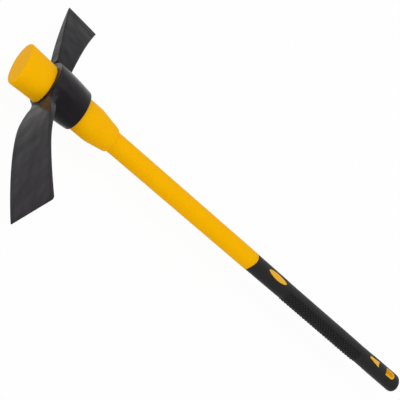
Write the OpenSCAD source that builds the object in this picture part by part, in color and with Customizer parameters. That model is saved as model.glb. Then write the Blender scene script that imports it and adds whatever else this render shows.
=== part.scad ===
// Cutter mattock: a forged head with an adze blade and an axe blade, slipped over
// a fibreglass handle with a flared yellow end and a black rubber grip.
// It lies on its side: +X runs along the handle from the head to the butt,
// the adze points to -Y, the cutter to +Y, and +Z is up.
// The working origin of every module is the centre of the eye's top rim.

/* [Overall] */
// Length of the whole tool, crown to butt
overall_length = 891; // [840:1:960]
// Height of the crown above the eye's top rim
crown_height = 51; // [40:1:60]

/* [Eye of the head] */
// Height of the eye along the handle
eye_height = 67.2; // [60:0.2:72]
// Wall of the eye at its top, towards the blades
eye_wall_top_depth = 6.2; // [5:0.1:9]
// Wall of the eye at its top, across the blades
eye_wall_top_breadth = 11.6; // [9:0.1:13]
// Wall of the eye at its bottom, towards the blades
eye_wall_low_depth = 3.9; // [3.5:0.1:6]
// Wall of the eye at its bottom, across the blades
eye_wall_low_breadth = 5.5; // [3.5:0.1:7]
// Rounding of the eye's rims
eye_rim_round = 2.4; // [1:0.1:3]
// Shift of the eye's outside towards the cutter
eye_shift = 1.2; // [0:0.1:1.6]

/* [Adze blade] */
// Reach of the adze edge from the handle's axis
adze_reach = 228.2; // [205:0.2:245]
// Depth of the adze's top face below the eye's rim
adze_neck_top = 0.8; // [0:0.1:3]
// How far the adze edge drops below its neck
adze_droop = 45.6; // [30:0.2:60]
// Distance from the axis at which the adze starts to bend down
adze_bend_start = 70; // [62:1:90]
// Width of the adze at its edge
adze_edge_width = 89.4; // [84:0.2:100]
// Width of the adze at its shoulder
adze_shoulder_width = 65.8; // [60:0.2:76]
// Width of the adze neck beside the eye
adze_neck_width = 46; // [40:1:52]
// Length over which the neck widens to the shoulder
adze_flare_length = 23; // [16:1:32]
// Thickness of the adze at its neck
adze_neck_thick = 12; // [10:0.5:14]
// Thickness of the adze blade
adze_blade_thick = 5; // [3.5:0.1:6.5]
// Length over which the neck thins to the blade
adze_taper_length = 95; // [70:1:120]
// Length of the ground bevel behind the adze edge
adze_bevel = 14; // [8:1:22]
// Rounding of the adze's two corners
adze_corner_round = 2.5; // [2:0.5:8]

/* [Cutter blade] */
// Reach of the cutter's upper corner from the handle's axis
cutter_reach = 178.5; // [160:0.5:190]
// How much shorter the cutter's lower corner reaches
cutter_slant = 5.5; // [0:0.5:8]
// Length of the cutter's neck beyond the eye's wall
cutter_neck_length = 15; // [13:0.5:20]
// Height of the cutter's neck
cutter_neck_height = 31.3; // [26:0.1:36]
// Height of the cutter's edge
cutter_edge_height = 61; // [54:0.5:66]
// Rise of the cutter's top line above the eye's rim, at the edge
cutter_rise = 6.8; // [2:0.2:10]
// Thickness of the cutter's neck
cutter_neck_thick = 18.5; // [15:0.5:22]
// Fillet where the cutter leaves the eye
cutter_fillet = 3; // [1:0.5:6]

/* [Flared end of the handle] */
// Depth of the crown at its end
crown_depth = 83.2; // [80:0.2:86]
// Breadth of the crown at its end
crown_breadth = 50.8; // [49:0.2:54]
// Shift of the crown towards the adze
crown_shift = 1.5; // [0:0.1:1.6]
// Overhang of the crown round the plug, which stops the head
crown_overhang = 2.9; // [2.6:0.1:3.4]
// Rounding of the crown's end
crown_end_round = 4.5; // [3:0.5:9]
// Rounding of the crown's seating edge
crown_seat_round = 1.2; // [0.6:0.2:2]
// Plastic left over the core at the crown
crown_cover = 13; // [8:0.5:18]
// Depth of the tapered plug at the eye's top
plug_top_depth = 69.4; // [68.4:0.2:71]
// Breadth of the tapered plug at the eye's top
plug_top_breadth = 44.6; // [44:0.2:46]
// Depth of the tapered plug at the eye's bottom
plug_low_depth = 68; // [66.8:0.2:69]
// Breadth of the tapered plug at the eye's bottom
plug_low_breadth = 43.8; // [42.6:0.2:44.4]
// Length of the straight taper that shows below the eye
shoulder_start = 29.8; // [20:0.2:40]
// Length of the rounded shoulder after it
shoulder_length = 40; // [30:1:50]
// Depth of the shoulder at its lower end
shoulder_depth = 46.4; // [44:0.2:50]
// Breadth of the shoulder at its lower end
shoulder_breadth = 36.4; // [34:0.2:40]

/* [Shaft] */
// Depth of the shaft at the shoulder
shaft_depth = 38; // [36:0.2:40]
// Breadth of the shaft at the shoulder
shaft_breadth = 31.6; // [31:0.2:33]
// Depth of the shaft where the grip starts
shaft_low_depth = 36.4; // [36:0.2:38]
// Breadth of the shaft where the grip starts
shaft_low_breadth = 30.4; // [30:0.2:31]
// Diameter of the fibreglass core
core_d = 20; // [17:0.5:21]
// Diameter of the jacket's spigot inside the flared end
spigot_d = 28; // [26:0.5:30]
// Length of that spigot
spigot_length = 52; // [40:1:60]

/* [Grip] */
// Length of the rubber grip, butt included
grip_length = 378; // [340:1:420]
// Step down all round from the shaft to the grip
grip_step = 0.3; // [0:0.05:0.5]
// Depth of the grip along its middle
grip_mid_depth = 34.4; // [33.6:0.2:35]
// Breadth of the grip along its middle
grip_mid_breadth = 28.8; // [28.2:0.2:29.2]
// Length over which the grip thins to its middle size
grip_taper_length = 114; // [80:1:160]
// Thickness of the rubber
grip_wall = 2.8; // [2.4:0.1:3]
// Depth of the finger waist just above the butt
waist_dip = 1.2; // [0:0.1:1.6]
// Half length of the finger waist
waist_reach = 20; // [15:1:30]
// Distance of the finger waist from the butt's end
waist_from_end = 93; // [85:1:105]
// Swing of the wavy edge where yellow meets black
wave_height = 2.6; // [0:0.1:4]
// Rubber left over the end of the jacket
butt_wall = 11; // [8:0.5:14]
// Rounding of the butt's end
butt_round = 10; // [6:0.5:11]

/* [Grip windows] */
// Length of the leaf window
leaf_length = 44; // [36:1:50]
// Width of the leaf window
leaf_width = 10.5; // [9:0.5:14]
// Distance of the leaf's middle from the start of the grip
leaf_from_start = 50; // [35:1:70]
// Shift of the leaf towards the adze side
leaf_shift = 3.2; // [0:0.2:4]
// Length of the triangle window
triangle_length = 26; // [22:1:32]
// Width of the triangle window's base
triangle_width = 12; // [9:0.5:14]
// Distance of the triangle's base from the butt's end
triangle_from_end = 61; // [56:1:68]
// Shift of the triangle's tip towards the adze side
triangle_tip_shift = 0.6; // [0:0.2:4]
// Shift of the triangle's base towards the adze side
triangle_base_shift = 2.2; // [0:0.2:4]
// Length of the D window
d_length = 22.5; // [18:0.5:26]
// Width of the D window
d_width = 14.5; // [11:0.5:17]
// Shift of the D towards the adze side
d_shift = 3; // [0:0.2:4]
// Distance of the D's round end from the butt's end
d_from_end = 19; // [16:1:22]
// Border left round the sunk middle of the D pad
d_border = 2.4; // [1.5:0.1:3]
// Depth of the sunk middle of the D pad
d_sink = 0.8; // [0.4:0.1:1.2]

/* [Clearances] */
// Running gap between the head and the handle
slip_gap = 0.3; // [0.25:0.05:0.5]
// Bond line between the fixed pieces of the handle
bond_gap = 0.1; // [0.05:0.05:0.15]

/* [Hidden] */
$fn = 64;

// Sides of every oval section
oval_sides = 64;
// Steps in a quarter round, and along a blade, eye or shoulder, grip, jacket and leaf
round_steps = 4;
blade_steps = 22;
wall_steps = 9;
grip_steps = 24;
jacket_steps = 12;
leaf_steps = 14;

// Thickness left at the two cutting edges
edge_thick = 1;
// Chamfer along the blades' long sides
blade_chamfer = 1.2;
// How far solids that become one piece, or cutters, run past each other
overlap = 10;

// Powers that shape the curves: below 1 they turn early, above 1 late
eye_taper_power = 1.8;
adze_bend_power = 1.46;
adze_flare_power = 0.52;
cutter_wedge_power = 1.8;
shoulder_power = 1.2;
leaf_fullness = 0.55;
// Straight share of the flare along the cutter's low edge; the rest grows with the cube
cutter_flare_straight = 0.55;

// Ovals that follow from the plug, the walls and the gaps
eye_top_depth = plug_top_depth + 2 * (slip_gap + eye_wall_top_depth);
eye_top_breadth = plug_top_breadth + 2 * (slip_gap + eye_wall_top_breadth);
eye_low_depth = plug_low_depth + 2 * (slip_gap + eye_wall_low_depth);
eye_low_breadth = plug_low_breadth + 2 * (slip_gap + eye_wall_low_breadth);
crown_seat_depth = plug_top_depth + 2 * crown_overhang;
crown_seat_breadth = plug_top_breadth + 2 * crown_overhang;
grip_depth = shaft_low_depth - 2 * grip_step;
grip_breadth = shaft_low_breadth - 2 * grip_step;

// Places along the handle
crown_x = -crown_height;
seat_x = -slip_gap;
shoulder_x = eye_height + shoulder_start;
step_x = shoulder_x + shoulder_length;
butt_x = overall_length - crown_height;
grip_x = butt_x - grip_length;
jacket_end_x = butt_x - butt_wall;
core_start_x = crown_x + crown_cover;
waist_x = butt_x - waist_from_end;

// Distances of the blades' parts from the handle's axis
eye_wall_r = eye_top_depth / 2;
blade_root_r = plug_low_depth / 4;
adze_shoulder_r = eye_wall_r + adze_flare_length;
cutter_neck_r = eye_wall_r + cutter_neck_length;

// The part's own frame: middle of its length and width, lowest point at zero
place = [-(crown_x + butt_x) / 2, (adze_reach - cutter_reach) / 2, adze_edge_width / 2];

function mix(a, b, u) = a + (b - a) * u;
function clamp01(u) = min(1, max(0, u));
function share(x, from, to) = clamp01((x - from) / (to - from));
function smooth(u) = u * u * (3 - 2 * u);
function sum(v, i = 0) = i < len(v) ? v[i] + sum(v, i + 1) : 0;
function middle(points) = [for (k = [0 : 2]) sum([for (p = points) p[k]]) / len(points)];

// An oval ring of half depth b and half breadth w at x, its middle at y
function ring(x, b, w, y = 0) = [
    for (i = [0 : oval_sides - 1])
        let (a = 360 * i / oval_sides) [x, y + b * cos(a), w * sin(a)]
];
// The same ring with an edge that swings twice round the handle
function wavy_ring(x, b, w, swing) = [
    for (p = ring(x, b, w)) [x - swing * (pow(p[1] / b, 2) - pow(p[2] / w, 2)), p[1], p[2]]
];

// A closed skin over a row of rings, with a fan over each end
module loft(rings) {
    n = len(rings[0]);
    last = len(rings) - 1;
    points = concat([for (r = rings) each r], [middle(rings[0]), middle(rings[last])]);
    first_pole = n * (last + 1);
    end_pole = first_pole + 1;
    sides = [
        for (k = [0 : last - 1], i = [0 : n - 1])
            let (j = (i + 1) % n, a = k * n, b = (k + 1) * n)
                each [[a + i, b + i, b + j], [a + i, b + j, a + j]]
    ];
    ends = [
        for (i = [0 : n - 1])
            let (j = (i + 1) % n)
                each [[first_pole, i, j], [end_pole, last * n + j, last * n + i]]
    ];
    polyhedron(points, concat(sides, ends));
}

// A cylinder along the handle from one place to another
module rod(from, to, d) {
    translate([from, 0, 0]) rotate([0, 90, 0]) cylinder(h = to - from, d = d);
}

// Forged head

function eye_taper(x) = pow(clamp01(x / eye_height), eye_taper_power);
function eye_b(x) = mix(eye_top_depth, eye_low_depth, eye_taper(x)) / 2;
function eye_w(x) = mix(eye_top_breadth, eye_low_breadth, eye_taper(x)) / 2;
function plug_b(x) = mix(plug_top_depth, plug_low_depth, x / eye_height) / 2;
function plug_w(x) = mix(plug_top_breadth, plug_low_breadth, x / eye_height) / 2;

module eye_outside() {
    top = [
        for (k = [0 : round_steps])
            let (a = 90 * k / round_steps, cut = eye_rim_round * (1 - sin(a)))
                ring(eye_rim_round * (1 - cos(a)), eye_b(0) - cut, eye_w(0) - cut, eye_shift)
    ];
    wall = [
        for (k = [1 : wall_steps - 1])
            let (x = mix(eye_rim_round, eye_height - eye_rim_round, k / wall_steps))
                ring(x, eye_b(x), eye_w(x), eye_shift)
    ];
    low = [
        for (k = [0 : round_steps])
            let (
                a = 90 * k / round_steps,
                cut = eye_rim_round * (1 - cos(a)),
                x = eye_height - eye_rim_round * (1 - sin(a))
            ) ring(x, eye_b(x) - cut, eye_w(x) - cut, eye_shift)
    ];
    loft(concat(top, wall, low));
}

module eye_bore() {
    loft([
        for (x = [-overlap, eye_height + overlap])
            ring(x, plug_b(x) + slip_gap, plug_w(x) + slip_gap)
    ]);
}

function adze_top(r) =
    adze_neck_top + adze_droop * pow(share(r, adze_bend_start, adze_reach), adze_bend_power);
function adze_half(r) =
    let (
        widening = smooth(share(r, eye_wall_r, adze_shoulder_r)),
        shoulder = mix(adze_neck_width, adze_shoulder_width, widening),
        flare = pow(share(r, adze_shoulder_r, adze_reach - adze_corner_round), adze_flare_power),
        into_corner = max(0, r - adze_reach + adze_corner_round),
        corner = adze_corner_round - sqrt(max(0, pow(adze_corner_round, 2) - pow(into_corner, 2)))
    ) mix(shoulder, adze_edge_width, flare) / 2 - corner;
function adze_thick(r) =
    let (
        thinning = smooth(share(r, eye_wall_r, eye_wall_r + adze_taper_length)),
        body = mix(adze_neck_thick, adze_blade_thick, thinning)
    ) mix(edge_thick, body, clamp01((adze_reach - r) / adze_bevel));

// A bar section with chamfered long sides; low and high are its two faces along X
function bar(y, low, high, half, edge) = [
    [low + edge, y, -half], [high - edge, y, -half],
    [high, y, -half + edge], [high, y, half - edge],
    [high - edge, y, half], [low + edge, y, half],
    [low, y, half - edge], [low, y, -half + edge]
];

module adze() {
    straight_end = adze_reach - adze_corner_round;
    stations = concat(
        [for (k = [0 : blade_steps]) mix(blade_root_r, straight_end, k / blade_steps)],
        [for (k = [1 : round_steps]) straight_end + adze_corner_round * sin(90 * k / round_steps)]
    );
    loft([
        for (r = stations)
            let (t = adze_thick(r), edge = min(blade_chamfer, t / 3))
                bar(-r, adze_top(r), adze_top(r) + t, adze_half(r), edge)
    ]);
}

// The cutter's section at a distance r: its top and low lines, its half thickness and its fillet
function cutter_share(r) = share(r, cutter_neck_r, cutter_reach);
function cutter_root(r) = cutter_fillet * pow(1 - share(r, eye_wall_r, eye_wall_r + cutter_fillet), 2);
function cutter_high(r) = -cutter_rise * (1 - pow(1 - cutter_share(r), 2));
function cutter_low(r) =
    let (
        u = cutter_share(r),
        flare = cutter_edge_height - cutter_rise - cutter_neck_height,
        rise = cutter_flare_straight * u + (1 - cutter_flare_straight) * pow(u, 3)
    ) cutter_neck_height + flare * rise + cutter_root(r);
function cutter_half(r) =
    mix(cutter_neck_thick, edge_thick, pow(cutter_share(r), cutter_wedge_power)) / 2 + cutter_root(r);

module cutter() {
    stations = concat(
        [blade_root_r],
        [for (k = [0 : round_steps]) eye_wall_r + cutter_fillet * k / round_steps],
        [for (k = [0 : blade_steps]) mix(cutter_neck_r, cutter_reach, k / blade_steps)]
    );
    loft([
        for (r = stations)
            let (
                p = [cutter_high(r), r],
                q = [cutter_low(r), r - cutter_slant * cutter_share(r)],
                h = cutter_half(r),
                edge = min(blade_chamfer, h / 2),
                e = edge * (q - p) / norm(q - p)
            ) [
                [p[0], p[1], h - edge], [p[0] + e[0], p[1] + e[1], h],
                [q[0] - e[0], q[1] - e[1], h], [q[0], q[1], h - edge],
                [q[0], q[1], -h + edge], [q[0] - e[0], q[1] - e[1], -h],
                [p[0] + e[0], p[1] + e[1], -h], [p[0], p[1], -h + edge]
            ]
    ]);
}

module mattock_head() {
    color("#3c393c")
        translate(place)
            difference() {
                union() {
                    eye_outside();
                    adze();
                    cutter();
                }
                eye_bore();
            }
}

// Flared end: crown, tapered plug and shoulder

function shoulder_mix(x) = pow(share(x, shoulder_x, step_x), shoulder_power);
function below_b(x) = mix(plug_b(x), shoulder_depth / 2, shoulder_mix(x));
function below_w(x) = mix(plug_w(x), shoulder_breadth / 2, shoulder_mix(x));

module flared_outside() {
    crown_rings = [
        for (k = [0 : round_steps])
            let (a = 90 * k / round_steps, cut = crown_end_round * (1 - sin(a)))
                ring(
                    crown_x + crown_end_round * (1 - cos(a)),
                    crown_depth / 2 - cut,
                    crown_breadth / 2 - cut,
                    -crown_shift
                )
    ];
    seat_rings = [
        for (k = [0 : round_steps])
            let (a = 90 * k / round_steps, cut = crown_seat_round * (1 - cos(a)))
                ring(
                    seat_x - crown_seat_round * (1 - sin(a)),
                    crown_seat_depth / 2 - cut,
                    crown_seat_breadth / 2 - cut,
                    -crown_shift
                )
    ];
    plug_rings = [for (x = [0, eye_height, shoulder_x]) ring(x, below_b(x), below_w(x))];
    shoulder_rings = [
        for (k = [1 : wall_steps])
            let (x = mix(shoulder_x, step_x, k / wall_steps)) ring(x, below_b(x), below_w(x))
    ];
    loft(concat(crown_rings, seat_rings, plug_rings, shoulder_rings));
}

module eye_swell() {
    color("#f1b102")
        translate(place)
            difference() {
                flared_outside();
                rod(core_start_x - bond_gap, step_x, core_d + 2 * bond_gap);
                rod(step_x - spigot_length - bond_gap, step_x + overlap, spigot_d + 2 * bond_gap);
            }
}

// Core rod

module fibreglass_core() {
    color("#d9d2b4") translate(place) rod(core_start_x, jacket_end_x, core_d);
}

// Grip outline, shared by the rubber and by the pads that show in its windows

function grip_mix(x) = smooth(share(x, grip_x, grip_x + grip_taper_length));
function waist(x) = waist_dip * exp(-pow((x - waist_x) / waist_reach, 2));
function grip_b(x) = mix(grip_depth, grip_mid_depth, grip_mix(x)) / 2 - waist(x);
function grip_w(x) = mix(grip_breadth, grip_mid_breadth, grip_mix(x)) / 2;

module grip_outside() {
    round_x = butt_x - butt_round;
    along = [
        for (k = [1 : grip_steps])
            let (x = mix(grip_x, round_x, k / grip_steps)) ring(x, grip_b(x), grip_w(x))
    ];
    butt = [
        for (k = [1 : round_steps])
            let (a = 90 * k / round_steps, cut = butt_round * (1 - cos(a)))
                ring(round_x + butt_round * sin(a), grip_b(round_x) - cut, grip_w(round_x) - cut)
    ];
    loft(concat([wavy_ring(grip_x, grip_b(grip_x), grip_w(grip_x), wave_height)], along, butt));
}

// Window outlines seen from above, with a margin round them
function leaf_half(u) = pow(sin(180 * u), leaf_fullness) / 2;
module leaf(margin) {
    long = leaf_length + 2 * margin;
    wide = leaf_width + 2 * margin;
    steps = [for (k = [0 : leaf_steps]) (1 - cos(180 * k / leaf_steps)) / 2];
    translate([grip_x + leaf_from_start - long / 2, -leaf_shift])
        polygon(concat(
            [for (u = steps) [long * u, wide * leaf_half(u)]],
            [for (k = [leaf_steps - 1 : -1 : 1]) [long * steps[k], -wide * leaf_half(steps[k])]]
        ));
}
module triangle(margin) {
    base_x = butt_x - triangle_from_end + margin;
    half = triangle_width / 2 + margin;
    tip_x = butt_x - triangle_from_end - triangle_length - margin;
    tip_y = -triangle_tip_shift;
    base_y = -triangle_base_shift;
    polygon([
        [tip_x, tip_y - margin], [base_x, base_y - half],
        [base_x, base_y + half], [tip_x, tip_y + margin]
    ]);
}
module d_shape(margin) {
    half = d_width / 2 + margin;
    end_x = butt_x - d_from_end + margin;
    start_x = butt_x - d_from_end - d_length - margin;
    translate([end_x - half, -d_shift]) circle(r = half);
    translate([start_x, -d_shift - half]) square([end_x - half - start_x, 2 * half]);
}
// Upright prisms over both broad sides of the grip, from the given height outwards
module both_sides(from) {
    for (side = [0, 1])
        mirror([0, 0, side]) translate([0, 0, from]) linear_extrude(grip_breadth) children();
}
module window_prisms(margin) {
    both_sides(core_d / 4) {
        leaf(margin);
        triangle(margin);
        d_shape(margin);
    }
}

// Yellow jacket

module jacket_under_grip(gap) {
    thin = grip_wall - gap;
    loft([
        for (k = [0 : jacket_steps])
            let (x = mix(grip_x - spigot_length, jacket_end_x + gap, k / jacket_steps))
                ring(x, grip_b(x) - thin, grip_w(x) - thin)
    ]);
}

module shaft_outside() {
    loft([
        ring(step_x + bond_gap, shaft_depth / 2, shaft_breadth / 2),
        wavy_ring(grip_x - bond_gap, shaft_low_depth / 2, shaft_low_breadth / 2, wave_height)
    ]);
}

module shaft_jacket() {
    color("#f1b102")
        translate(place)
            difference() {
                union() {
                    shaft_outside();
                    jacket_under_grip(0);
                    intersection() {
                        grip_outside();
                        window_prisms(0);
                    }
                    rod(step_x - spigot_length, step_x + overlap, spigot_d);
                }
                rod(step_x - spigot_length - overlap, butt_x, core_d + 2 * bond_gap);
                both_sides(grip_mid_breadth / 2 - d_sink) d_shape(-d_border);
            }
}

// Rubber grip

module rubber_grip() {
    color("#262425")
        translate(place)
            difference() {
                grip_outside();
                jacket_under_grip(bond_gap);
                window_prisms(bond_gap);
            }
}

mattock_head();
eye_swell();
fibreglass_core();
shaft_jacket();
rubber_grip();
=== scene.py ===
import math

import bmesh
import bpy
from mathutils import Matrix, Vector


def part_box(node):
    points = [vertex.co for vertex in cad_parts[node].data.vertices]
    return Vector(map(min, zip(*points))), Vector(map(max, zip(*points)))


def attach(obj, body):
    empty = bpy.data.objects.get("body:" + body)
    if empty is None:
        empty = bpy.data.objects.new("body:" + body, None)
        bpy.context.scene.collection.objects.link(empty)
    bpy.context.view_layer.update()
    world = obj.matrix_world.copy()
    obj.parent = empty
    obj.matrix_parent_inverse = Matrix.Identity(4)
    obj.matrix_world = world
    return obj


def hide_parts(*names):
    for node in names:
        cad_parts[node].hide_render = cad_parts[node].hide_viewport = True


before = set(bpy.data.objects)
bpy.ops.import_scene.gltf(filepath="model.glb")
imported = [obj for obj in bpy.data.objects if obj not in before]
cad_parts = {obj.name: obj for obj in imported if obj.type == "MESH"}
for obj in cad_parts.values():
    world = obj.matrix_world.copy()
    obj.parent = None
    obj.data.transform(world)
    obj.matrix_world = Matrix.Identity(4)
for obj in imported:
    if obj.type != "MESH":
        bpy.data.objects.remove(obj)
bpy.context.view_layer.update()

# The cutter mattock's looks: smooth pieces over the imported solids, their finishes, light and camera.
# Lengths are millimetres from the eye's top rim on the handle's axis, and spot() turns them to the frame.

MM = 0.001
QUARTER = math.pi / 2

# Flared end. An oval is its depth along Y, then its breadth along Z.
CROWN_HEIGHT = 51
CROWN = (83.2, 50.8)
CROWN_ROUND = 3.2
CROWN_SET_BACK = 0.4
CROWN_SEAT = (75.2, 50.4)
CROWN_SHIFT = -1.5
CROWN_COVER = 13
CROWN_WALL_ROWS = (0.25, 0.5, 0.75)
SEAT_ROUND = 1.2
PLUG_TOP = (69.4, 44.6)
PLUG_LOW = (68.0, 43.8)
PLUG_ROWS = (80, 65, 45, 25, 8, 0.5)
SLIP_GAP = 0.3
SHOULDER_START = 97
SHOULDER_LOW = (46.4, 36.4)
SHOULDER_POWER = 1.2
SHOULDER_LIP = 1.2
SHOULDER_ROWS = 14

# Eye. Its rims and the mouths of its bore are eased in rows of (distance from the end, growth of the oval).
EYE_HEIGHT = 67.2
EYE_TOP = (82.4, 68.4)
EYE_LOW = (76.4, 55.4)
EYE_SHIFT = 2.0
EYE_TAPER_POWER = 1.8
EYE_FULLNESS = 0.3
EYE_RIM = 2.2
EYE_TOP_EASE = ((0, -2.2), (0.4, -0.2))
EYE_LOW_EASE = ((0.4, -0.1), (0, -1.7))
EYE_LOW_ROWS = (46, 58)
MOUTH_EASE = ((0, 0.6), (1, 0))

# Blades. Each grows from a patch of the eye's wall that reaches down to its ROOT_LOW and round by its
# ROOT_TURN each way. Stations are distances from the axis, and end stations are distances from the edge.
FIRST_PULL = 12
EDGE_THICK = 1
EDGE_CREASE = 0.92
FORGING_LEVELS = 3

# Adze blade
ADZE_ROOT_LOW = 12.8
ADZE_ROOT_TURN = QUARTER / 2
ADZE_NECK_TOP = 0.8
ADZE_DROOP = 45.6
ADZE_BEND_START = 70
ADZE_BEND_POWER = 1.46
ADZE_NECK_WIDTH = 46
ADZE_SHOULDER_WIDTH = 65.8
ADZE_SHOULDER_AT = 64.2
ADZE_FLARE_POWER = 0.45
ADZE_NECK_THICK = 12
ADZE_BLADE_THICK = 5
ADZE_TAPER_LENGTH = 95
ADZE_BEVEL = 6
ADZE_FRONT_BEVEL = 0.1
ADZE_CORNER = 0.8
ADZE_EASE = 0.8
ADZE_STATIONS = (44, 50, 57, 64, 74, 90, 110, 130, 150, 170, 190, 208)
ADZE_END_STATIONS = (ADZE_BEVEL + 2, ADZE_BEVEL, 3, 1, 0.25, 0)
ADZE_CREASE_FROM = 43
ADZE_SIDE_SHARE = 0.47

# Cutter blade
CUTTER_ROOT_LOW = 30
CUTTER_ROOT_TURN = QUARTER / 6
CUTTER_NECK_AT = 56.2
CUTTER_NECK_HEIGHT = 31.3
CUTTER_NECK_THICK = 18.5
CUTTER_EDGE_HEIGHT = 61
CUTTER_RISE = 6.8
CUTTER_SLANT = 5.5
CUTTER_STRAIGHT = 0.62
CUTTER_WEDGE_POWER = 1.8
CUTTER_STATIONS = (46, 51, 58, 70, 88, 106, 124, 142, 156, 167, 174)
CUTTER_END_STATIONS = (1, 0)
CUTTER_CREASE_FROM = 45
CUTTER_LEAN_IN = 2
CUTTER_TALL_SHARE = 0.4
CUTTER_THICK_SHARE = 0.36

# Shaft and grip
CORE = 20
SHAFT_TOP = (38.0, 31.6)
SHAFT_LOW = (36.4, 30.4)
SHAFT_ROW = 24
SPIGOT = 28
SPIGOT_LENGTH = 52
BOND_GAP = 0.1
JACKET_EDGE_EASE = 0.25
UNDER_ROW = 12
GRIP_LENGTH = 380.3
GRIP_START = (35.8, 29.8)
GRIP_MIDDLE = (34.4, 28.8)
GRIP_TAPER = 114
GRIP_WALL = 2.8
GRIP_EDGE_EASE = 0.3
GRIP_ROW = 4.2
WAIST_DIP = 1.2
WAIST_REACH = 20
WAIST_FROM_END = 93
WAVE = 2.6
WAVE_CLEAR = 12
WAVE_CATCH = 1
BUTT_WALL = 11
BUTT_ROUND = 10

# Windows in the grip and the pads in them: length, width, place and shift towards the adze side
LEAF_LENGTH = 43
LEAF_WIDTH = 11.8
LEAF_FROM_START = 52.3
LEAF_SHIFT = 2.7
LEAF_FULLNESS = 0.5
LEAF_POINTS = 48
TRIANGLE_LENGTH = 24.5
TRIANGLE_WIDTH = 11
TRIANGLE_FROM_END = 61
TRIANGLE_TIP = 2.1
TRIANGLE_TIP_SHIFT = 1.3
TRIANGLE_BASE_SHIFT = 2.2
D_LENGTH = 21.2
D_WIDTH = 14.5
D_FROM_END = 19.8
D_SHIFT = 1.8
D_BORDER = 2.0
D_SINK = 1.4
D_SINK_DRAFT = 0.4
D_ARC_STEPS = 12
WINDOW_GAP = 0.6
WINDOW_CUT = (5, 20)
PAD_ROOT = 3.0
PAD_RIM = 0.6
PAD_RIM_DROP = 0.45
PAD_PROUD = 0.15
PAD_STRIP = 1.25

# Tread on the palm sides of the grip: rows as (where round the grip, how many), lozenges as (rise, size kept)
TREAD_FROM = 548
TREAD_TO = 733
TREAD_PITCH = 6.6
TREAD_ROWS = ((0, 3), (math.pi, 9))
TREAD_ROW_TURN = math.radians(14)
TREAD_LENGTH = 5.9
TREAD_WIDTH = 5.2
TREAD_HEIGHT = 1.1
TREAD_ROOT = 0.5
TREAD_STEPS = ((TREAD_ROOT, 1), (0.7 * TREAD_HEIGHT, 0.82), (0.3 * TREAD_HEIGHT, 0.85))
TREAD_SINK = 0.8
TREAD_RUN_IN = 10

# Patterns in the finishes: how wide one feature is, and how deep it stands
DENT, DENT_DEPTH = 32, 2.2
PEEL, PEEL_DEPTH = 1.6, 0.02
# Painted light: where the black is painted greyer towards the adze's edge, in mm from the axis
PAINTED_LIGHT_FROM, PAINTED_LIGHT_TO = 105, 170
FLOW = 30
SKIN, SKIN_DEPTH = 2.5, 0.012
PAD_FLOW = 9
SINK_GRAIN, SINK_GRAIN_DEPTH = 0.5, 0.03
RUBBER_GRAIN, RUBBER_GRAIN_DEPTH = 0.7, 0.03
RUBBER_CLOUD = 18
STRAND, STRAND_DEPTH = 0.9, 0.05
STRAND_STRETCH = (0.03, 1, 1)
NOISE_SPAN = {"From Min": 0.3, "From Max": 0.7}

# Studio, in metres and watts: softboxes as (name, place, target, size, power)
FLOOR_SIZE = 12
FLOOR_AT = (0, 0, -0.0005)
FLOOR_GREY = (0.85, 0.85, 0.85, 1)
FLOOR_GLOW = 0.96
WHITE = (1, 1, 1, 1)
WORLD_LIGHT = 0.68
SOFTBOXES = (
    ("overhead", (-0.3, 0.5, 2.2), (0, 0, 0), 1.8, 14),
    ("head_fill", (-2.2, -0.5, 0.9), (-0.3, 0, 0), 1.4, 5),
    ("front_fill", (-0.4, -2.4, 0.5), (0, 0, 0), 1.8, 14),
)
CAMERA_AT = (-1.0545, -1.49255, 1.3147)
CAMERA_TURN = (35.0521, -46.0363, 13.1605)
CAMERA_LENS = 125.9
CAMERA_SENSOR = 36
CAMERA_REACH = 50

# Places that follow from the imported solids
core_low, core_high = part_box("fibreglass_core")
swell_low, swell_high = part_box("eye_swell")
grip_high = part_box("rubber_grip")[1]
head_low, head_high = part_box("mattock_head")
AXIS_Y = (core_low.y + core_high.y) / 2
AXIS_Z = (core_low.z + core_high.z) / 2
RIM_X = swell_low.x + CROWN_HEIGHT * MM
STEP_AT = (swell_high.x - RIM_X) / MM
BUTT_AT = (grip_high.x - RIM_X) / MM
GRIP_AT = BUTT_AT - GRIP_LENGTH
JACKET_END = BUTT_AT - BUTT_WALL
WAIST_AT = BUTT_AT - WAIST_FROM_END
D_END = BUTT_AT - D_FROM_END
ADZE_REACH = (AXIS_Y - head_low.y) / MM
CUTTER_REACH = (head_high.y - AXIS_Y) / MM
ADZE_EDGE_WIDTH = (head_high.z - head_low.z) / MM - ADZE_EASE
EYE_WALL_AT = EYE_TOP[0] / 2

# Fineness of the rings
EYE_SIDES = 24
OVAL_SIDES = 96
ROUND_STEPS = 6


def spot(x, y=0.0, z=0.0):
    """A place given in millimetres from the eye's rim, as a point of the frame in metres."""
    return Vector((RIM_X + x * MM, AXIS_Y + y * MM, AXIS_Z + z * MM))


def mix(a, b, u):
    """The value a share u of the way from a to b."""
    return a + (b - a) * u


def share(x, start, end):
    """How far x is from start to end, held between 0 and 1."""
    return min(1.0, max(0.0, (x - start) / (end - start)))


def smooth(u):
    """A share that starts and ends gently."""
    return u * u * (3 - 2 * u)


def steps(start, end, step):
    """Even places from start to end, about one step apart."""
    count = max(1, round(abs(end - start) / step))
    return [mix(start, end, k / count) for k in range(count + 1)]


def mix_oval(a, b, u):
    return mix(a[0], b[0], u), mix(a[1], b[1], u)


def grow_oval(oval, by):
    """An oval whose wall lies further out by a distance."""
    return oval[0] + 2 * by, oval[1] + 2 * by


# Modelling steps


def deselect():
    bpy.ops.object.select_all(action="DESELECT")


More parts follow.
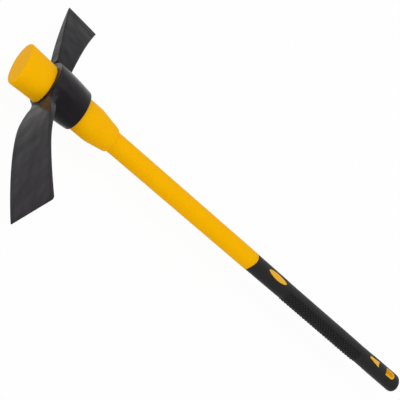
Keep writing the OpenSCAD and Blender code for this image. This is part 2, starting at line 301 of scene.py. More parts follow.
def pick(piece, kind, test):
    """In edit mode, select just the vertices, edges or faces whose middle passes the test."""
    bpy.ops.mesh.select_mode(type=kind)
    bpy.ops.mesh.select_all(action="DESELECT")
    work = bmesh.from_edit_mesh(piece.data)
    for part in {"VERT": work.verts, "EDGE": work.edges, "FACE": work.faces}[kind]:
        corners = [part] if kind == "VERT" else part.verts
        middle = sum((v.co for v in corners), Vector()) / len(corners)
        if test((middle - spot(0)) / MM, part):
            part.select_set(True)
    bmesh.update_edit_mesh(piece.data)


def extrude(x, y, z):
    """Extrude what is selected by a move in millimetres."""
    bpy.ops.mesh.extrude_region_move(TRANSFORM_OT_translate={"value": (x * MM, y * MM, z * MM)})


def name_piece(name):
    """Name the new primitive, set it at the origin with its points in the frame, and open it for editing."""
    piece = bpy.context.active_object
    piece.name = name
    piece.data.name = name
    bpy.ops.object.transform_apply(location=True, rotation=True, scale=True)
    bpy.ops.object.mode_set(mode="EDIT")
    bpy.ops.mesh.select_mode(type="VERT")
    bpy.ops.mesh.select_all(action="SELECT")
    return piece


def oval_tube(name, rows, sides):
    """A circle extruded and scaled from row to row, each (x, oval), or (x, oval, y) if off the axis."""
    rows = [(*row, 0)[:3] for row in rows]
    x, oval, y = rows[0]
    deselect()
    bpy.ops.mesh.primitive_circle_add(
        vertices=sides, radius=MM, location=spot(x, y), rotation=(0, QUARTER, 0))
    piece = name_piece(name)
    bpy.ops.transform.resize(value=(1, oval[0] / 2, oval[1] / 2), center_override=spot(x, y))
    for (x, oval, y), (next_x, next_oval, next_y) in zip(rows, rows[1:]):
        extrude(next_x - x, next_y - y, 0)
        wider = (1, next_oval[0] / oval[0], next_oval[1] / oval[1])
        bpy.ops.transform.resize(value=wider, center_override=spot(next_x, next_y))
    return piece


def rounding(corner_x, oval, radius, turn):
    """Rows of a rounded edge that ends at corner_x, reached from lower x with turn 1, from higher with -1."""
    rows = []
    for k in range(ROUND_STEPS + 1):
        a = QUARTER * k / ROUND_STEPS
        x = corner_x - turn * radius * (1 - math.sin(a))
        rows.append((x, grow_oval(oval, -radius * (1 - math.cos(a)))))
    return rows


def face_out():
    bpy.ops.mesh.select_all(action="SELECT")
    bpy.ops.mesh.normals_make_consistent(inside=False)


def cap_ends(piece, rows, sides):
    """Close the first and last ring of a tube with a grid of faces."""
    for x in (rows[0][0], rows[-1][0]):
        pick(piece, "EDGE", lambda p, e: e.is_boundary and abs(p.x - x) < 0.5)
        bpy.ops.mesh.fill_grid(span=sides // 4)
    face_out()


def join_ends(piece):
    """Bridge the first and last ring of a tube, so that it closes on itself."""
    pick(piece, "EDGE", lambda p, e: e.is_boundary)
    bpy.ops.mesh.bridge_edge_loops()
    face_out()


def choose(piece):
    """Make a piece the only one selected, and the active one."""
    deselect()
    piece.select_set(True)
    bpy.context.view_layer.objects.active = piece


def join_pieces(name, pieces):
    deselect()
    for piece in pieces:
        piece.select_set(True)
    bpy.context.view_layer.objects.active = pieces[0]
    bpy.ops.object.join()
    pieces[0].name = name
    pieces[0].data.name = name
    return pieces[0]


def apply_modifier(piece, kind, **settings):
    """Add a modifier with its settings and apply it."""
    choose(piece)
    bpy.ops.object.modifier_add(type=kind)
    modifier = piece.modifiers[-1]
    for key, value in settings.items():
        setattr(modifier, key, value)
    bpy.ops.object.modifier_apply(modifier=modifier.name)


def finish_piece(piece, body, node, material, degrees):
    """Shade a piece, give it its finish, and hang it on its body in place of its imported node."""
    if piece.mode == "EDIT":
        bpy.ops.object.mode_set(mode="OBJECT")
    choose(piece)
    bpy.ops.object.shade_smooth_by_angle(angle=math.radians(degrees))
    piece.data.materials.clear()
    piece.data.materials.append(material)
    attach(piece, body)
    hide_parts(node)


# Finishes


def srgb(code):
    """A colour written as on a screen, #rrggbb, as linear light."""
    parts = [int(code[k:k + 2], 16) / 255 for k in (1, 3, 5)]
    return [p / 12.92 if p <= 0.04045 else ((p + 0.055) / 1.055) ** 2.4 for p in parts] + [1.0]


def per_metre(size):
    """How many features of a size in millimetres go into a metre."""
    return 1 / (size * MM)


def add_node(tree, kind, sockets, **settings):
    """Add a node, set it up, and give its sockets a constant or a link from another node's output."""
    made = tree.nodes.new(kind)
    for key, value in settings.items():
        setattr(made, key, value)
    for key, value in sockets.items():
        if isinstance(value, bpy.types.NodeSocket):
            tree.links.new(value, made.inputs[key])
        else:
            made.inputs[key].default_value = value
    return made.outputs


def new_material(name):
    """An empty material and its tree."""
    material = bpy.data.materials.new(name)
    material.use_nodes = True
    material.node_tree.nodes.clear()
    return material, material.node_tree


def black_paint_on_forging():
    """Satin black paint over a forging: broad dents from the dies, fine orange peel, grey bloom seen aslant.

    Its colour is painted greyer towards the adze's edge: painted light, standing in for the light that the
    blade's lower part catches.
    """
    material, tree = new_material("satin_black_paint_on_forged_steel")
    place = add_node(tree, "ShaderNodeTexCoord", {})["Object"]
    sockets = {"Vector": place, "Scale": per_metre(DENT), "Detail": 1}
    dents = add_node(tree, "ShaderNodeTexNoise", sockets)["Fac"]
    sockets = {"Vector": place, "Scale": per_metre(PEEL), "Detail": 2}
    peel = add_node(tree, "ShaderNodeTexNoise", sockets)["Fac"]
    across = add_node(tree, "ShaderNodeSeparateXYZ", {"Vector": place})["Y"]
    # Painted light: the colour turns greyer from here out to the adze's edge, for the light the blade's lower
    # part catches
    lightening_starts_at, lightening_full_at = spot(0, -PAINTED_LIGHT_FROM).y, spot(0, -PAINTED_LIGHT_TO).y
    sockets = {"Value": across, "From Min": lightening_starts_at, "From Max": lightening_full_at}
    painted_lightening = add_node(tree, "ShaderNodeMapRange", sockets)["Result"]
    sockets = {"Factor": dents, "A": srgb("#09050a"), "B": srgb("#100a11")}
    black = add_node(tree, "ShaderNodeMix", sockets, data_type="RGBA")["Result"]
    sockets = {"Factor": painted_lightening, "A": black, "B": srgb("#1e181f")}
    colour = add_node(tree, "ShaderNodeMix", sockets, data_type="RGBA")["Result"]
    sockets = {"Value": dents, **NOISE_SPAN, "To Min": 0.22, "To Max": 0.34}
    gloss = add_node(tree, "ShaderNodeMapRange", sockets)["Result"]
    sockets = {"Height": dents, "Distance": DENT_DEPTH * MM, "Strength": 1.0}
    dented = add_node(tree, "ShaderNodeBump", sockets)["Normal"]
    sockets = {"Height": peel, "Distance": PEEL_DEPTH * MM, "Strength": 1.0, "Normal": dented}
    surface = add_node(tree, "ShaderNodeBsdfPrincipled", {
        "Base Color": colour,
        "Roughness": gloss,
        "Specular IOR Level": 0.13,
        "Sheen Weight": 0.11,
        "Sheen Roughness": 0.42,
        "Normal": add_node(tree, "ShaderNodeBump", sockets)["Normal"],
    })
    add_node(tree, "ShaderNodeOutputMaterial", {"Surface": surface["BSDF"]})
    return material


def yellow_moulding():
    """Satin yellow polypropylene from an etched mould, with a faint flow in its gloss.

    The mould's grain is about 0.3 mm, and it is drawn coarser so that it shows.
    """
    material, tree = new_material("moulded_yellow_polypropylene")
    place = add_node(tree, "ShaderNodeTexCoord", {})["Object"]
    sockets = {"Vector": place, "Scale": per_metre(FLOW), "Detail": 2}
    flow = add_node(tree, "ShaderNodeTexNoise", sockets)["Fac"]
    sockets = {"Vector": place, "Scale": per_metre(SKIN), "Detail": 1}
    skin = add_node(tree, "ShaderNodeTexNoise", sockets)["Fac"]
    sockets = {"Factor": flow, "A": srgb("#f3b000"), "B": srgb("#f5b400")}
    colour = add_node(tree, "ShaderNodeMix", sockets, data_type="RGBA")["Result"]
    sockets = {"Value": flow, **NOISE_SPAN, "To Min": 0.4, "To Max": 0.5}
    gloss = add_node(tree, "ShaderNodeMapRange", sockets)["Result"]
    sockets = {"Height": skin, "Distance": SKIN_DEPTH * MM, "Strength": 1.0}
    surface = add_node(tree, "ShaderNodeBsdfPrincipled", {
        "Base Color": colour,
        "Roughness": gloss,
        "Specular IOR Level": 0.02,
        "Normal": add_node(tree, "ShaderNodeBump", sockets)["Normal"],
    })
    add_node(tree, "ShaderNodeOutputMaterial", {"Surface": surface["BSDF"]})
    return material


def polished_yellow_pad():
    """The jacket's pads, from a polished part of the mould: paler where they mirror the light."""
    material, tree = new_material("polished_yellow_polypropylene")
    place = add_node(tree, "ShaderNodeTexCoord", {})["Object"]
    sockets = {"Vector": place, "Scale": per_metre(PAD_FLOW), "Detail": 1}
    flow = add_node(tree, "ShaderNodeTexNoise", sockets)["Fac"]
    sockets = {"Factor": flow, "A": srgb("#e7aa0a"), "B": srgb("#ebb010")}
    surface = add_node(tree, "ShaderNodeBsdfPrincipled", {
        "Base Color": add_node(tree, "ShaderNodeMix", sockets, data_type="RGBA")["Result"],
        "Roughness": 0.25,
        "Specular IOR Level": 0.25,
    })
    add_node(tree, "ShaderNodeOutputMaterial", {"Surface": surface["BSDF"]})
    return material


def shaded_dull_yellow_sink():
    """The sunk middle of the D pad, spark eroded and dull, with its yellow painted deeper: painted shade in
    the recess.

    The eroded grain is about 0.1 mm, and it is drawn coarser so that it shows.
    """
    material, tree = new_material("eroded_yellow_polypropylene_painted_shade")
    place = add_node(tree, "ShaderNodeTexCoord", {})["Object"]
    sockets = {"Vector": place, "Scale": per_metre(SINK_GRAIN), "Detail": 2}
    grain = add_node(tree, "ShaderNodeTexNoise", sockets)["Fac"]
    # Painted shade: the sunk middle's yellow is painted darker than the pad round it, for the shade in the
    # recess
    sockets = {"Factor": grain, "A": srgb("#c98c02"), "B": srgb("#d09406")}
    colour = add_node(tree, "ShaderNodeMix", sockets, data_type="RGBA")["Result"]
    sockets = {"Height": grain, "Distance": SINK_GRAIN_DEPTH * MM, "Strength": 1.0}
    surface = add_node(tree, "ShaderNodeBsdfPrincipled", {
        "Base Color": colour,
        "Roughness": 0.7,
        "Specular IOR Level": 0.05,
        "Normal": add_node(tree, "ShaderNodeBump", sockets)["Normal"],
    })
    add_node(tree, "ShaderNodeOutputMaterial", {"Surface": surface["BSDF"]})
    return material


def black_rubber():
    """Moulded rubber: near black and dull, cloudy in its gloss, with the fine grain of an eroded mould.

    The eroded grain is about 0.1 mm, and it is drawn coarser so that it shows.
    """
    material, tree = new_material("moulded_black_rubber")
    place = add_node(tree, "ShaderNodeTexCoord", {})["Object"]
    sockets = {"Vector": place, "Scale": per_metre(RUBBER_GRAIN), "Detail": 2}
    grain = add_node(tree, "ShaderNodeTexNoise", sockets)["Fac"]
    sockets = {"Vector": place, "Scale": per_metre(RUBBER_CLOUD), "Detail": 2}
    cloud = add_node(tree, "ShaderNodeTexNoise", sockets)["Fac"]
    sockets = {"Factor": cloud, "A": srgb("#0f0e0f"), "B": srgb("#161415")}
    colour = add_node(tree, "ShaderNodeMix", sockets, data_type="RGBA")["Result"]
    sockets = {"Value": cloud, **NOISE_SPAN, "To Min": 0.46, "To Max": 0.58}
    gloss = add_node(tree, "ShaderNodeMapRange", sockets)["Result"]
    sockets = {"Height": grain, "Distance": RUBBER_GRAIN_DEPTH * MM, "Strength": 1.0}
    surface = add_node(tree, "ShaderNodeBsdfPrincipled", {
        "Base Color": colour,
        "Roughness": gloss,
        "Specular IOR Level": 0.22,
        "Normal": add_node(tree, "ShaderNodeBump", sockets)["Normal"],
    })
    add_node(tree, "ShaderNodeOutputMaterial", {"Surface": surface["BSDF"]})
    return material


def pulled_fibreglass():
    """Glass fibre pulled through a die: straw resin with pale strands along the rod."""
    material, tree = new_material("pultruded_fibreglass")
    place = add_node(tree, "ShaderNodeTexCoord", {})["Object"]
    sockets = {"Vector": place, "Scale": STRAND_STRETCH}
    along = add_node(tree, "ShaderNodeMapping", sockets)["Vector"]
    sockets = {"Vector": along, "Scale": per_metre(STRAND), "Detail": 3}
    strands = add_node(tree, "ShaderNodeTexNoise", sockets)["Fac"]
    sockets = {"Factor": strands, "A": srgb("#bfb48a"), "B": srgb("#e2dcc3")}
    colour = add_node(tree, "ShaderNodeMix", sockets, data_type="RGBA")["Result"]
    sockets = {"Height": strands, "Distance": STRAND_DEPTH * MM, "Strength": 1.0}
    surface = add_node(tree, "ShaderNodeBsdfPrincipled", {
        "Base Color": colour,
        "Roughness": 0.5,
        "Normal": add_node(tree, "ShaderNodeBump", sockets)["Normal"],
    })
    add_node(tree, "ShaderNodeOutputMaterial", {"Surface": surface["BSDF"]})
    return material


BLACK_PAINT = black_paint_on_forging()
YELLOW = yellow_moulding()
POLISHED_YELLOW = polished_yellow_pad()
SHADED_DULL_YELLOW = shaded_dull_yellow_sink()
RUBBER = black_rubber()
FIBREGLASS = pulled_fibreglass()


# Head


def eye_oval(x):
    return mix_oval(EYE_TOP, EYE_LOW, share(x, 0, EYE_HEIGHT) ** EYE_TAPER_POWER)


def plug_oval(x):
    return mix_oval(PLUG_TOP, PLUG_LOW, x / EYE_HEIGHT)


def adze_section(r):
    """The adze at a distance r from the axis: its middle along X and Y, thickness and width."""
    taper = smooth(share(r, EYE_WALL_AT, EYE_WALL_AT + ADZE_TAPER_LENGTH))
    full = mix(ADZE_NECK_THICK, ADZE_BLADE_THICK, taper)
    thick = mix(EDGE_THICK, full, share(ADZE_REACH - r, 0, ADZE_BEVEL))
    neck = smooth(share(r, EYE_WALL_AT, ADZE_SHOULDER_AT))
    flare = share(r, ADZE_SHOULDER_AT, ADZE_REACH - ADZE_CORNER) ** ADZE_FLARE_POWER
    wide = mix(mix(ADZE_NECK_WIDTH, ADZE_SHOULDER_WIDTH, neck), ADZE_EDGE_WIDTH, flare)
    into_corner = max(0, r - ADZE_REACH + ADZE_CORNER)
    corner = ADZE_CORNER - math.sqrt(max(0, ADZE_CORNER ** 2 - into_corner ** 2))
    top = ADZE_NECK_TOP + ADZE_DROOP * share(r, ADZE_BEND_START, ADZE_REACH) ** ADZE_BEND_POWER
    top += ADZE_FRONT_BEVEL * (full - thick)
    return top + thick / 2, -r, thick, wide - 2 * corner


def cutter_section(r):
    """The cutter where its top line is r from the axis: its middle along X and Y, height and thickness."""
    u = share(r, CUTTER_NECK_AT, CUTTER_REACH)
    top = -CUTTER_RISE * (1 - (1 - u) ** 2)
    drop = CUTTER_EDGE_HEIGHT - CUTTER_RISE - CUTTER_NECK_HEIGHT
    low = CUTTER_NECK_HEIGHT + drop * mix(u ** 3, u, CUTTER_STRAIGHT)
    slope = CUTTER_SLANT / CUTTER_EDGE_HEIGHT
    thick = mix(CUTTER_NECK_THICK, EDGE_THICK, u ** CUTTER_WEDGE_POWER)
    return (top + low) / 2, r - slope * (low - top) / 2, low - top, thick


def draw_blade(section, stations, root_low, half, lean):
    """Pull the picked patch of the eye's wall flat to the first section, then on from section to section."""
    sections = [section(r) for r in stations]
    x, y, tall, wide = sections[0]
    extrude(0, math.copysign(FIRST_PULL, y), 0)
    bpy.ops.transform.resize(value=(1, 0, 1), center_override=spot(0, y))
    bpy.ops.transform.translate(value=((x - (EYE_RIM + root_low) / 2) * MM, 0, 0))
    fitted = (tall / (root_low - EYE_RIM), 1, wide / (2 * half))
    bpy.ops.transform.resize(value=fitted, center_override=spot(x, y))
    bpy.ops.transform.rotate(value=lean, orient_axis="Z", center_override=spot(x, y))
    for now, then in zip(sections, sections[1:]):
        extrude(then[0] - now[0], then[1] - now[1], 0)
        taller = then[2] / now[2]
        fitted = (taller, taller, then[3] / now[3])
        bpy.ops.transform.resize(value=fitted, center_override=spot(then[0], then[1]))


def forge_head():
    """One forging: the eye as a closed tube, with both blades drawn out of its wall, then smoothed."""
    # Smoothing draws a ring in, so the rings start larger by as much
    grow = 3 / (2 + math.cos(2 * math.pi / EYE_SIDES))
    outside = [(x, grow_oval(eye_oval(0), out)) for x, out in EYE_TOP_EASE]
    wall = (EYE_RIM, ADZE_ROOT_LOW, CUTTER_ROOT_LOW, *EYE_LOW_ROWS, EYE_HEIGHT - EYE_RIM)
    outside += [(x, grow_oval(eye_oval(x), EYE_FULLNESS)) for x in wall]
    outside += [(EYE_HEIGHT - x, grow_oval(eye_oval(EYE_HEIGHT), out)) for x, out in EYE_LOW_EASE]
    mouths = [(EYE_HEIGHT - x, out) for x, out in MOUTH_EASE] + list(MOUTH_EASE[::-1])
    inside = [(x, grow_oval(plug_oval(x), SLIP_GAP + out)) for x, out in mouths]
    rows = [(x, (oval[0] * grow, oval[1] * grow), EYE_SHIFT) for x, oval in outside]
    rows += [(x, (oval[0] * grow, oval[1] * grow)) for x, oval in inside]
    piece = oval_tube("forged_head", rows, EYE_SIDES)
    join_ends(piece)

    # The adze grows from the top band of the wall, and the cutter from a narrow, taller patch across from it
    half = EYE_TOP[1] / 2 * grow * math.sin(ADZE_ROOT_TURN)
    pick(piece, "FACE", lambda p, f: EYE_RIM < p.x < ADZE_ROOT_LOW and p.y < 0 and abs(p.z) < half)
    stations = [*ADZE_STATIONS, *(ADZE_REACH - short for short in ADZE_END_STATIONS)]
    draw_blade(adze_section, stations, ADZE_ROOT_LOW, half, 0)

    half = EYE_TOP[1] / 2 * grow * math.sin(CUTTER_ROOT_TURN)

    def in_cutter_patch(p, f):
        return EYE_RIM < p.x < CUTTER_ROOT_LOW and p.y > 0 and abs(p.z) < half and f.normal.y > 0.5

    pick(piece, "FACE", in_cutter_patch)
    stations = [*CUTTER_STATIONS, *(CUTTER_REACH - short for short in CUTTER_END_STATIONS)]
    lean = math.atan(CUTTER_SLANT / CUTTER_EDGE_HEIGHT)
    draw_blade(cutter_section, stations, CUTTER_ROOT_LOW, half, lean)

    def sharp_edge(p, e):
        """An edge along a blade's corner, or one across the adze's end."""
        runs_out = abs(e.verts[1].co.y - e.verts[0].co.y) > 0.1 * MM
        if p.y < -ADZE_CREASE_FROM:
            at_side = abs(p.z) > ADZE_SIDE_SHARE * adze_section(-p.y)[3]
            return p.y < -ADZE_REACH + 0.1 or (runs_out and at_side)
        if p.y > CUTTER_CREASE_FROM:
            middle, _, tall, thick = cutter_section(min(CUTTER_REACH, p.y + CUTTER_LEAN_IN))
            at_top_or_low = abs(p.x - middle) > CUTTER_TALL_SHARE * tall
            return runs_out and at_top_or_low and abs(p.z) > CUTTER_THICK_SHARE * thick
        return False

    pick(piece, "EDGE", sharp_edge)
    bpy.ops.transform.edge_crease(value=EDGE_CREASE)
    face_out()
    bpy.ops.object.mode_set(mode="OBJECT")
    apply_modifier(piece, "SUBSURF", levels=FORGING_LEVELS, render_levels=FORGING_LEVELS)
    finish_piece(piece, "head", "mattock_head", BLACK_PAINT, 60)


# Flared end


def below_oval(x):
    """The plug below the eye, drawn in to the shoulder's end."""
    u = share(x, SHOULDER_START, STEP_AT) ** SHOULDER_POWER
    return mix_oval(plug_oval(x), SHOULDER_LOW, u)


def mould_flared_end():
    """The moulded end: from its blind bore out to the step, then back up over shoulder, plug and crown."""
    bore = (CORE + 2 * BOND_GAP,) * 2
    socket = (SPIGOT + 2 * BOND_GAP,) * 2
    crown_end = CROWN_SET_BACK - CROWN_HEIGHT
    socket_end = STEP_AT - SPIGOT_LENGTH - BOND_GAP
    rows = [(crown_end + CROWN_COVER - BOND_GAP, bore), (socket_end, bore)]
    rows += [(socket_end, socket), (STEP_AT, socket)]
    rows += rounding(STEP_AT, below_oval(STEP_AT), SHOULDER_LIP, 1)[::-1]
    lip_start = STEP_AT - 2 * SHOULDER_LIP
    shoulder = [mix(lip_start, SHOULDER_START, k / SHOULDER_ROWS) for k in range(SHOULDER_ROWS + 1)]
    rows += [(x, below_oval(x)) for x in shoulder]
    rows += [(x, plug_oval(x)) for x in (*PLUG_ROWS, -SLIP_GAP)]
    seat = rounding(-SLIP_GAP, CROWN_SEAT, SEAT_ROUND, 1)[::-1]
    end = rounding(crown_end, CROWN, CROWN_ROUND, -1)
    wall = [(mix(seat[-1][0], end[0][0], u), mix_oval(CROWN_SEAT, CROWN, u)) for u in CROWN_WALL_ROWS]
    rows += [(x, oval, CROWN_SHIFT) for x, oval in seat + wall + end]
    piece = oval_tube("flared_end", rows, OVAL_SIDES)
    cap_ends(piece, rows, OVAL_SIDES)
    finish_piece(piece, "handle", "eye_swell", YELLOW, 50)


# Grip and jacket


def grip_oval(x):
    """The grip's outside, with its waist and a shallow hollow under the tread."""
    u = smooth(share(x, GRIP_AT, GRIP_AT + GRIP_TAPER))
    depth, breadth = mix_oval(GRIP_START, GRIP_MIDDLE, u)
    waist = WAIST_DIP * math.exp(-((x - WAIST_AT) / WAIST_REACH) ** 2)
    first, last = TREAD_FROM - TREAD_LENGTH / 2, TREAD_TO + TREAD_LENGTH / 2
    run_in = smooth(share(x, first - TREAD_RUN_IN, first))
    run_out = smooth(share(x, last + TREAD_RUN_IN, last))
    return depth - 2 * (waist + TREAD_SINK * run_in * run_out), breadth


def wave_edge(piece, x):
    """Swing the rings at a place along the handle, twice round, into the wavy edge of the rubber."""
    for k in range(OVAL_SIDES // 4 + 1):
        turn = 2 * math.pi * k / OVAL_SIDES

        def on_line(p, v):
            if not x - WAVE_CATCH < p.x < x + WAVE_CATCH:
                return False
            oval = grip_oval(p.x)
            a = math.atan2(abs(p.z) / oval[1], abs(p.y) / oval[0])
            return abs(a - turn) < math.pi / OVAL_SIDES

        pick(piece, "VERT", on_line)
        bpy.ops.transform.translate(value=(-WAVE * math.cos(2 * turn) * MM, 0, 0))


def mould_jacket():
    """The yellow jacket: spigot, shaft, wavy step, a thinner part under the rubber, and back up the bore."""
    bore = (CORE + 2 * BOND_GAP,) * 2
    spigot = (SPIGOT, SPIGOT)
    start = STEP_AT - SPIGOT_LENGTH
    edge = GRIP_AT - BOND_GAP
    top = STEP_AT + BOND_GAP

    def shaft(x):
        return mix_oval(SHAFT_TOP, SHAFT_LOW, share(x, top, edge))

    def under(x):
        return grow_oval(grip_oval(x), -GRIP_WALL)

    rows = [(start, bore), (start, spigot), (top, spigot), (top, shaft(top))]
    rows += [(x, shaft(x)) for x in steps(top + 1, edge - WAVE_CLEAR, SHAFT_ROW)]
    rows += [(edge - JACKET_EDGE_EASE, shaft(edge)), (edge, grow_oval(shaft(edge), -JACKET_EDGE_EASE))]
    rows += [(edge, under(edge))]
    rows += [(x, under(x)) for x in steps(edge + WAVE_CLEAR, JACKET_END, UNDER_ROW)]
    rows += [(JACKET_END, bore)]
    piece = oval_tube("yellow_jacket", rows, OVAL_SIDES)
    join_ends(piece)
    wave_edge(piece, edge)
    finish_piece(piece, "handle", "shaft_jacket", YELLOW, 50)


def leaf_outline(margin):
    """Points round the leaf window, grown by a margin."""
    points = []
    for k in range(LEAF_POINTS):
        a = 2 * math.pi * k / LEAF_POINTS
        along = math.sin(math.pi * (1 - math.cos(a)) / 2)
        half = (LEAF_WIDTH / 2 + margin) * max(0, along) ** LEAF_FULLNESS
        x = GRIP_AT + LEAF_FROM_START - (LEAF_LENGTH / 2 + margin) * math.cos(a)
        points.append((x, -LEAF_SHIFT + math.copysign(half, math.sin(a))))
    return points


def triangle_outline(margin):
    """Corners of the triangle window, blunt at its tip, grown by a margin."""
    base = BUTT_AT - TRIANGLE_FROM_END + margin
    tip = base - TRIANGLE_LENGTH - 2 * margin
    half = TRIANGLE_WIDTH / 2 + margin
    blunt = TRIANGLE_TIP + margin
    return [
        (tip, -TRIANGLE_TIP_SHIFT - blunt), (base, -TRIANGLE_BASE_SHIFT - half),
        (base, -TRIANGLE_BASE_SHIFT + half), (tip, -TRIANGLE_TIP_SHIFT + blunt),
    ]


def d_outline(margin):
    """Points round the D window, flat towards the head, grown by a margin."""
    half = D_WIDTH / 2 + margin
    centre = D_END - D_WIDTH / 2
    flat = D_END - D_LENGTH - margin
    turns = [QUARTER * (k / D_ARC_STEPS - 1) for k in range(2 * D_ARC_STEPS + 1)]
    arc = [(centre + half * math.cos(a), -D_SHIFT + half * math.sin(a)) for a in turns]
    return [(flat, -D_SHIFT - half), *arc, (flat, -D_SHIFT + half)]


WINDOWS = {"leaf": leaf_outline, "triangle": triangle_outline, "d": d_outline}


def draw_outline(name, points, height):
    """A flat face at a height above the axis: one point, drawn on from corner to corner and filled."""
    deselect()
    bpy.ops.mesh.primitive_plane_add(size=MM, location=spot(*points[0], height))
    piece = name_piece(name)
    bpy.ops.mesh.merge(type="CENTER")
    for (x, y), (next_x, next_y) in zip(points, points[1:]):
        extrude(next_x - x, next_y - y, 0)
    bpy.ops.mesh.select_all(action="SELECT")
    bpy.ops.mesh.edge_face_add()
    return piece


def both_sides():
    """Copy the closed piece being edited to the other broad side of the grip, as a mirror image."""
    bpy.ops.mesh.select_all(action="SELECT")
    bpy.ops.mesh.duplicate()
    bpy.ops.transform.resize(value=(1, 1, -1), center_override=spot(0))
    face_out()
    bpy.ops.object.mode_set(mode="OBJECT")


def crest(x, y):
    """The height of the grip's round over the axis."""
    depth, breadth = grip_oval(x)
    return breadth / 2 * math.sqrt(max(0, 1 - (2 * y / depth) ** 2))


def drape(piece):
    """Bend a flat pad, modelled about height 0, onto the round of the grip, in narrow strips."""
    widths = [(v.co.y - AXIS_Y) / MM for v in piece.data.vertices]
    for y in steps(min(widths), max(widths), PAD_STRIP)[1:-1]:
        bpy.ops.mesh.select_all(action="SELECT")
        bpy.ops.mesh.bisect(plane_co=spot(0, y), plane_no=(0, 1, 0))
    bpy.ops.object.mode_set(mode="OBJECT")
    for vertex in piece.data.vertices:
        p = (vertex.co - spot(0)) / MM
        vertex.co.z += crest(p.x, p.y) * MM
    bpy.ops.object.mode_set(mode="EDIT")


def mould_pads():
    """The pads that stand up from the jacket into the windows, rims eased, the D with a sunk middle."""
    # Each step of a pad is (rise, how far its outline draws in)
    eased = [(PAD_ROOT + PAD_PROUD - PAD_RIM_DROP, 0)]
    eased += [(0.7 * PAD_RIM_DROP, 0.3 * PAD_RIM), (0.3 * PAD_RIM_DROP, 0.7 * PAD_RIM)]
    sunk = [(0, D_BORDER), (-D_SINK, D_SINK_DRAFT)]
    pads = []
    for kind, outline in WINDOWS.items():
        points = outline(0)
        low = [min(p[k] for p in points) for k in (0, 1)]
        high = [max(p[k] for p in points) for k in (0, 1)]
        middle = spot(mix(low[0], high[0], 0.5), mix(low[1], high[1], 0.5))
        size = [high[0] - low[0], high[1] - low[1]]
        piece = draw_outline(kind + "_pad", points, -PAD_ROOT)
        for rise, inset in eased + (sunk if kind == "d" else []):
            extrude(0, 0, rise)
            smaller = [1 - 2 * inset / length for length in size]
            bpy.ops.transform.resize(value=(*smaller, 1), center_override=middle)
            size = [length - 2 * inset for length in size]
        face_out()
        drape(piece)
        both_sides()
        pads.append(piece)
    piece = join_pieces("jacket_pads", pads)
    finish_piece(piece, "handle", "shaft_jacket", POLISHED_YELLOW, 30)

    def in_sink(p, f):
        below = crest(p.x, p.y) - abs(p.z)
        at_depth = 0.4 * D_SINK < below < 1.3 * D_SINK
        return p.x > D_END - D_LENGTH and at_depth and abs(f.normal.z) > 0.5

    # The sunk middle gets the dull yellow that is painted darker: painted shade in the recess
    piece.data.materials.append(SHADED_DULL_YELLOW)
    bpy.ops.object.mode_set(mode="EDIT")
    pick(piece, "FACE", in_sink)
    piece.active_material_index = 1
    bpy.ops.object.material_slot_assign()
    bpy.ops.object.mode_set(mode="OBJECT")


def mould_grip():
    """The rubber: an open sleeve over the jacket with a closed butt, its windows cut through both sides."""

    def inner(x):
        return grow_oval(grip_oval(x), BOND_GAP - GRIP_WALL)

    round_at = BUTT_AT - BUTT_ROUND
    rows = [(x, inner(x)) for x in steps(JACKET_END + BOND_GAP, GRIP_AT + WAVE_CLEAR, 3 * GRIP_ROW)]
    rows += [(GRIP_AT, inner(GRIP_AT)), (GRIP_AT, grow_oval(grip_oval(GRIP_AT), -GRIP_EDGE_EASE))]
    rows += [(GRIP_AT + GRIP_EDGE_EASE, grip_oval(GRIP_AT))]
    rows += [(x, grip_oval(x)) for x in steps(GRIP_AT + WAVE_CLEAR, round_at - 1, GRIP_ROW)]
    rows += rounding(BUTT_AT, grip_oval(round_at), BUTT_ROUND, 1)
    piece = oval_tube("rubber_sleeve", rows, OVAL_SIDES)
    cap_ends(piece, rows, OVAL_SIDES)
    wave_edge(piece, GRIP_AT)
    bpy.ops.object.mode_set(mode="OBJECT")
    cut_from, cut_height = WINDOW_CUT
    cutters = []
    for kind, outline in WINDOWS.items():
        cutters.append(draw_outline(kind + "_cutter", outline(WINDOW_GAP), cut_from))
        extrude(0, 0, cut_height)
        face_out()
        both_sides()
    cutter = join_pieces("window_cutter", cutters)
    apply_modifier(piece, "BOOLEAN", operation="DIFFERENCE", solver="EXACT", object=cutter)
    bpy.data.objects.remove(cutter)
    finish_piece(piece, "handle", "rubber_grip", RUBBER, 35)


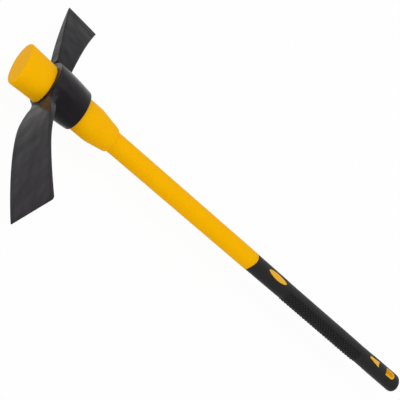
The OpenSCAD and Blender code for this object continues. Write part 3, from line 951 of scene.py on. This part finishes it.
def mould_tread():
    """Rows of raised lozenges on both palm sides: one is modelled and the rest are copies on the round."""
    deselect()
    bpy.ops.mesh.primitive_circle_add(vertices=4, radius=MM, fill_type="NGON")
    lozenge = name_piece("lozenge")
    bpy.ops.transform.resize(value=(TREAD_LENGTH / 2, TREAD_WIDTH / 2, 1), center_override=(0, 0, 0))
    for rise, kept in TREAD_STEPS:
        extrude(0, 0, rise)
        bpy.ops.transform.resize(value=(kept, kept, 1), center_override=(0, 0, 0))
    face_out()
    bpy.ops.object.mode_set(mode="OBJECT")
    along = Vector((1, 0, 0))
    copies = []
    for side, rows in TREAD_ROWS:
        for row in range(rows):
            turn = side + (row - (rows - 1) / 2) * TREAD_ROW_TURN
            stagger = TREAD_PITCH / 2 * (row % 2)
            for k in range(int((TREAD_TO - TREAD_FROM - stagger) / TREAD_PITCH) + 1):
                x = TREAD_FROM + stagger + k * TREAD_PITCH
                depth, breadth = grip_oval(x)
                y, z = depth / 2 * math.cos(turn), breadth / 2 * math.sin(turn)
                out = Vector((0, math.cos(turn) / depth, math.sin(turn) / breadth)).normalized()
                seat = Matrix((along, out.cross(along), out)).transposed().to_4x4()
                seat.translation = spot(x, y, z) - out * TREAD_ROOT * MM
                copy = lozenge.copy()
                copy.data = lozenge.data.copy()
                copy.data.transform(seat)
                bpy.context.collection.objects.link(copy)
                copies.append(copy)
    bpy.data.objects.remove(lozenge)
    piece = join_pieces("grip_tread", copies)
    finish_piece(piece, "handle", "rubber_grip", RUBBER, 30)


forge_head()
mould_flared_end()
mould_jacket()
mould_pads()
mould_grip()
mould_tread()
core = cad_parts["fibreglass_core"]
core.data.materials.clear()
core.data.materials.append(FIBREGLASS)


# Studio


def white_to_eye(tree):
    """1 for rays that show a thing to the camera, straight or in a gloss, and 0 for rays that light it."""
    path = add_node(tree, "ShaderNodeLightPath", {})
    shown = path["Is Camera Ray"]
    for ray in ("Is Glossy Ray", "Is Transmission Ray"):
        shown = add_node(tree, "ShaderNodeMath", {0: shown, 1: path[ray]}, operation="MAXIMUM")[0]
    return shown


def lay_floor():
    """A plain pale floor that the tool lies on, white to the camera with just a soft shadow."""
    deselect()
    bpy.ops.mesh.primitive_plane_add(size=FLOOR_SIZE, location=FLOOR_AT)
    floor = bpy.context.active_object
    floor.name = "floor"
    material, tree = new_material("pale_floor")
    matt = add_node(tree, "ShaderNodeBsdfDiffuse", {"Color": FLOOR_GREY})[0]
    glow = add_node(tree, "ShaderNodeEmission", {"Color": WHITE, "Strength": 1.0})[0]
    sockets = {0: white_to_eye(tree), 1: FLOOR_GLOW}
    amount = add_node(tree, "ShaderNodeMath", sockets, operation="MULTIPLY")[0]
    mixed = add_node(tree, "ShaderNodeMixShader", {0: amount, 1: matt, 2: glow})[0]
    add_node(tree, "ShaderNodeOutputMaterial", {"Surface": mixed})
    floor.data.materials.append(material)


def light_world():
    """Soft light from all round, and plain white where it is seen."""
    world = bpy.data.worlds.new("studio")
    bpy.context.scene.world = world
    world.use_nodes = True
    tree = world.node_tree
    tree.nodes.clear()
    soft = add_node(tree, "ShaderNodeBackground", {"Color": WHITE, "Strength": WORLD_LIGHT})[0]
    white = add_node(tree, "ShaderNodeBackground", {"Color": WHITE, "Strength": 1.0})[0]
    mixed = add_node(tree, "ShaderNodeMixShader", {0: white_to_eye(tree), 1: soft, 2: white})[0]
    add_node(tree, "ShaderNodeOutputWorld", {"Surface": mixed})


def hang_softbox(name, place, target, size, power):
    light = bpy.data.lights.new(name, "AREA")
    light.shape = "SQUARE"
    light.size = size
    light.energy = power
    box = bpy.data.objects.new(name, light)
    bpy.context.collection.objects.link(box)
    box.location = place
    box.rotation_euler = (Vector(target) - Vector(place)).to_track_quat("-Z", "Y").to_euler()


def set_camera():
    """The photo's view: from the adze side above, with the head at the upper left."""
    lens = bpy.data.cameras.new("photo_view")
    lens.sensor_width = CAMERA_SENSOR
    lens.lens = CAMERA_LENS
    lens.clip_end = CAMERA_REACH
    camera = bpy.data.objects.new("photo_view", lens)
    bpy.context.collection.objects.link(camera)
    camera.location = CAMERA_AT
    camera.rotation_euler = [math.radians(a) for a in CAMERA_TURN]
    bpy.context.scene.camera = camera


lay_floor()
light_world()
for softbox in SOFTBOXES:
    hang_softbox(*softbox)
set_camera()
bpy.context.scene.view_settings.view_transform = "Standard"
